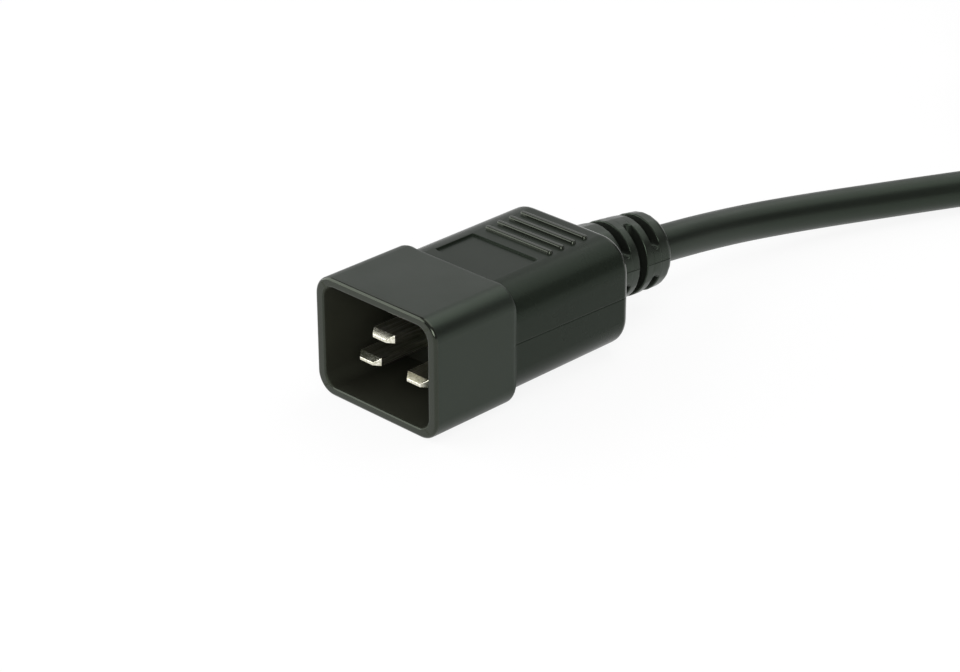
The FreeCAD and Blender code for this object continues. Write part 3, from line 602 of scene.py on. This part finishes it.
# Cores: stranded copper in coloured soft plastic, one to each pole. They lie inside the two
# mouldings, from the crimped contacts to the cord's jacket.
def bare_copper(name):
    """Copper strands: a shiny metal with the slanting lay of the twist."""
    material, shader, links, add = new_material(name)
    place = add("ShaderNodeTexCoord").outputs["Object"]
    lay = add("ShaderNodeTexWave", {"Vector": place, "Scale": 900.0, "Distortion": 1.5},
              bands_direction="DIAGONAL")
    tone = blend(add, lay.outputs["Fac"], (0.42, 0.16, 0.08), (0.72, 0.36, 0.21))
    links.new(tone, shader.inputs["Base Color"])
    bump = add("ShaderNodeBump", {
        "Height": lay.outputs["Fac"], "Strength": 0.6, "Distance": 0.05 * MM})
    links.new(bump.outputs["Normal"], shader.inputs["Normal"])
    shader.inputs["Metallic"].default_value = 1.0
    shader.inputs["Roughness"].default_value = 0.35
    return material


copper = bare_copper("bare_copper")
insulation = {
    "line": soft_plastic("core_brown", (0.14, 0.055, 0.025), (0.19, 0.08, 0.035), 0.4, 0.3, 0.02),
    "neutral": soft_plastic("core_blue", (0.03, 0.11, 0.36), (0.045, 0.15, 0.45), 0.4, 0.3, 0.02),
    "earth": soft_plastic("core_green", (0.13, 0.30, 0.05), (0.20, 0.40, 0.08), 0.4, 0.3, 0.02),
}
for end in ("plug", "socket"):
    for pole, colour in insulation.items():
        finish_node(f"{end}_{pole}_core", colour)
        finish_node(f"{end}_{pole}_strands", copper)

# Socket housing: the far end's moulding, of the same soft plastic as the plug's. Its nose fits
# the plug's mouth, and its grip and its sleeve match the plug's. Each section has a width, a height
# and a corner radius, and distances count from the nose's face.
insert = (24.6, 17.6, 1.6)
insert_edge = (24.9, 17.9, 1.75)
nose_face = (26.7, 19.7, 2.05)
nose = (28.0, 21.0, 2.7)
socket_front = (30.7, 21.9, 5.9)
socket_end = (28.7, 19.9, 4.9)
socket_grip = (32.7, 23.9, 6.9)
socket_ribs = (35.0, 38.3, 41.6, 44.9)
insert_end, nose_end, socket_back, socket_back_round = 18.0, 20.0, 52.7, 2.0
socket_back_start = socket_back - socket_back_round
socket_y, socket_z = 180.0, 21.05

rows = [(*insert, insert_end), (*insert, 9.0), (*insert, 0.15), (*insert_edge, 0.0)]
rows += [(*nose_face, 0.0)]
rows += round_edge(nose_face, nose, 5, 0.0, rim_round, hollow=True)
rows += [(*nose, 1.2), (*nose, 10.0), (*nose, 19.4), (*nose, nose_end), (*socket_front, nose_end)]
rows += round_edge(socket_front, socket_grip, 6, nose_end, 1.0, hollow=True)
socket_lines = rib_lines(socket_ribs) | {
    21.4, 23.0, 28.0, 33.0, 47.0, 49.5, 50.4, socket_back_start}
rows += [(*socket_grip, y) for y in sorted(socket_lines)]
rows += round_edge(socket_grip, socket_end, 9, socket_back_start, socket_back_round)
socket_body = loft("socket_body", [section(*row) for row in rows])


def socket_relief(x, y, on_top):
    return rib_rise(x, y, socket_ribs)


def socket_seam(y):
    return 0.0


mould_marks(socket_body, socket_grip[1] / 2, nose_end + 0.5, socket_back - 1.0, socket_relief,
            socket_seam)
join_sleeve(socket_body, socket_back, swing=3.1)
socket_body.data.transform(Matrix.Translation(Vector((0, socket_y, socket_z)) * MM))
smooth(socket_body, 38)
socket_body.data.materials.append(grip_black)
socket_body.data.materials.append(sleeve_black)
for face in socket_body.data.polygons:
    if face.center.y > (socket_y + socket_back + 0.01) * MM:
        face.material_index = 1
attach(socket_body, "root")
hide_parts("socket_housing")

# Socket contacts: folded strips with two spring leaves, plated like the pins. They sit in the
# chambers of a rigid black carrier that the housing is moulded round.
# The socket's carrier takes the same lightened material, with its painted fill light.
finish_node("socket_contact_carrier", carrier_painted_fill)
for pole in insulation:
    finish_node(f"socket_{pole}_contact", nickel)


# Tie: a band of black hook-and-loop tape round the right-hand side of the hank, pressed shut
# where its end overlaps on top.
def tape_path():
    """Middle line of the tape round the three lengths of cord, as places and outward directions."""
    upper, inner, outer = Vector((24.0, 0, 12.6)), Vector((24.0, 0, 4.2)), Vector((32.0, 0, 4.2))
    reach, overlap, slope = 4.55, 0.95, 45
    stations = []
    for middle, first, last in ((upper, 90, 180), (inner, 180, 270), (outer, 270, 360 + slope)):
        stations += [(middle, degrees, 0.0) for degrees in range(first, last + 1, 15)]
    stations += [(outer.lerp(upper, share), slope, 0.0) for share in (0.15, 0.35, 0.65, 0.85)]
    for degrees in (48, 60, 75, 90, 105, 120):
        stations.append((upper, degrees, overlap * ease(degrees, 40, 85)))
    path = []
    for middle, degrees, lift in stations:
        a = math.radians(degrees)
        out = Vector((math.cos(a), 0, math.sin(a)))
        path.append((middle + out * (reach + lift), out))
    return path


def tape_section(place, out):
    """Flat section with bevelled edges across the tape, kept clear of the table."""
    half_width, half_thickness, edge, clearance = 7.0, 0.45, 0.2, 0.05
    hank_middle, tape_y = 20.0, 247.0
    corners = (
        (half_width, edge - half_thickness), (half_width, half_thickness - edge),
        (half_width - edge, half_thickness), (edge - half_width, half_thickness),
        (-half_width, half_thickness - edge), (-half_width, edge - half_thickness),
        (edge - half_width, -half_thickness), (half_width - edge, -half_thickness))
    outline = []
    for along, through in corners:
        corner = Vector((hank_middle, tape_y + along, 0)) + place + out * through
        floor = clearance + half_thickness + through
        outline.append(Vector((corner.x, corner.y, max(corner.z, floor))) * MM)
    return outline


tape = loft("tape", [tape_section(place, out) for place, out in tape_path()])
smooth(tape, 50)
tape_black, tape_shader, links, add = new_material("tape_black")
tape_place = add("ShaderNodeTexCoord").outputs["Object"]
loops = add("ShaderNodeTexVoronoi", {"Vector": tape_place, "Scale": 2200.0})
weave = add("ShaderNodeTexWave", {
    "Vector": tape_place, "Scale": 420.0, "Distortion": 0.6}, bands_direction="Y")
nap = add("ShaderNodeMath", {
    0: loops.outputs["Distance"], 1: weave.outputs["Fac"]}, operation="ADD")
tape_tone = blend(add, loops.outputs["Distance"], (0.006, 0.006, 0.007), (0.022, 0.022, 0.024))
links.new(tape_tone, tape_shader.inputs["Base Color"])
tape_bump = add("ShaderNodeBump", {
    "Height": nap.outputs["Value"], "Strength": 0.8, "Distance": 0.12 * MM})
links.new(tape_bump.outputs["Normal"], tape_shader.inputs["Normal"])
tape_shader.inputs["Roughness"].default_value = 0.9
tape_shader.inputs["Sheen Weight"].default_value = 0.15
tape.data.materials.append(tape_black)
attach(tape, "root")
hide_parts("cord_tie")

on_cord = [tape, socket_body, "socket_contact_carrier"]
on_cord += [f"socket_{pole}_{part}" for pole in insulation for part in ("contact", "core", "strands")]

# Light and table: a plain white table in a dim studio, with a raised border that keeps low views
# white. Two large soft lights stand to the left and in front of the plug, weaker ones hang behind
# and above it, and a small one is close over the cord.
world = bpy.data.worlds.new("studio")
bpy.context.scene.world = world
world.use_nodes = True
world.node_tree.nodes["Background"].inputs["Color"].default_value = (1.0, 1.0, 1.0, 1.0)
world.node_tree.nodes["Background"].inputs["Strength"].default_value = 0.14


def soft_light(name, place, target, width, height, power):
    lamp = bpy.data.lights.new(name, "AREA")
    lamp.shape = "RECTANGLE"
    lamp.size = width
    lamp.size_y = height
    lamp.energy = power
    light = bpy.data.objects.new(name, lamp)
    bpy.context.collection.objects.link(light)
    light.location = place
    light.rotation_mode = "QUATERNION"
    light.rotation_quaternion = (Vector(target) - Vector(place)).to_track_quat("-Z", "Y")


soft_light("left_light", (-0.80, -0.50, 0.42), (0, 0, 0), 1.3, 1.0, 11.5)
soft_light("front_light", (0.85, -0.86, 0.60), (0, -0.02, 0.01), 0.8, 0.6, 11.5)
soft_light("back_light", (-0.61, 0.62, 0.40), (0, 0, 0.02), 1.2, 0.7, 1.82)
soft_light("top_light", (0.08, 0.80, 1.05), (0, 0.1, 0), 1.3, 1.0, 4.6)
soft_light("near_light", (0.03, 0.08, 0.35), (0.03, 0.08, 0), 0.30, 0.36, 0.40)

bpy.ops.object.select_all(action="DESELECT")
table_size, border_width, border_rise = 6.0, 0.4, 0.2
bpy.ops.mesh.primitive_plane_add(size=table_size)
table = bpy.context.object
table.name = "table"
bpy.ops.object.mode_set(mode="EDIT")
bpy.ops.mesh.inset(thickness=border_width)
bpy.ops.object.mode_set(mode="OBJECT")
for vertex in table.data.vertices:
    if abs(vertex.co.x) > (table_size - border_width) / 2:
        vertex.co.z = border_rise
table_white, table_shader, links, add = new_material("table_white")
table_shader.inputs["Base Color"].default_value = (0.93, 0.93, 0.93, 1.0)
table_shader.inputs["Roughness"].default_value = 0.8
path = add("ShaderNodeLightPath").outputs
direct = add("ShaderNodeMath", {
    0: path["Is Camera Ray"], 1: path["Is Glossy Ray"]}, operation="MAXIMUM")
seen = add("ShaderNodeMath", {
    0: direct.outputs["Value"], 1: path["Is Transmission Ray"]}, operation="MAXIMUM")
glow_share = 0.88
share = add("ShaderNodeMath", {0: seen.outputs["Value"], 1: glow_share}, operation="MULTIPLY")
glow = add("ShaderNodeEmission", {"Color": (1.0, 1.0, 1.0, 1.0), "Strength": 1.0})
surface = add("ShaderNodeMixShader", {
    0: share.outputs["Value"], 1: table_shader.outputs["BSDF"], 2: glow.outputs["Emission"]})
links.new(surface.outputs["Shader"], table_white.node_tree.nodes["Material Output"].inputs["Surface"])
table.data.materials.append(table_white)
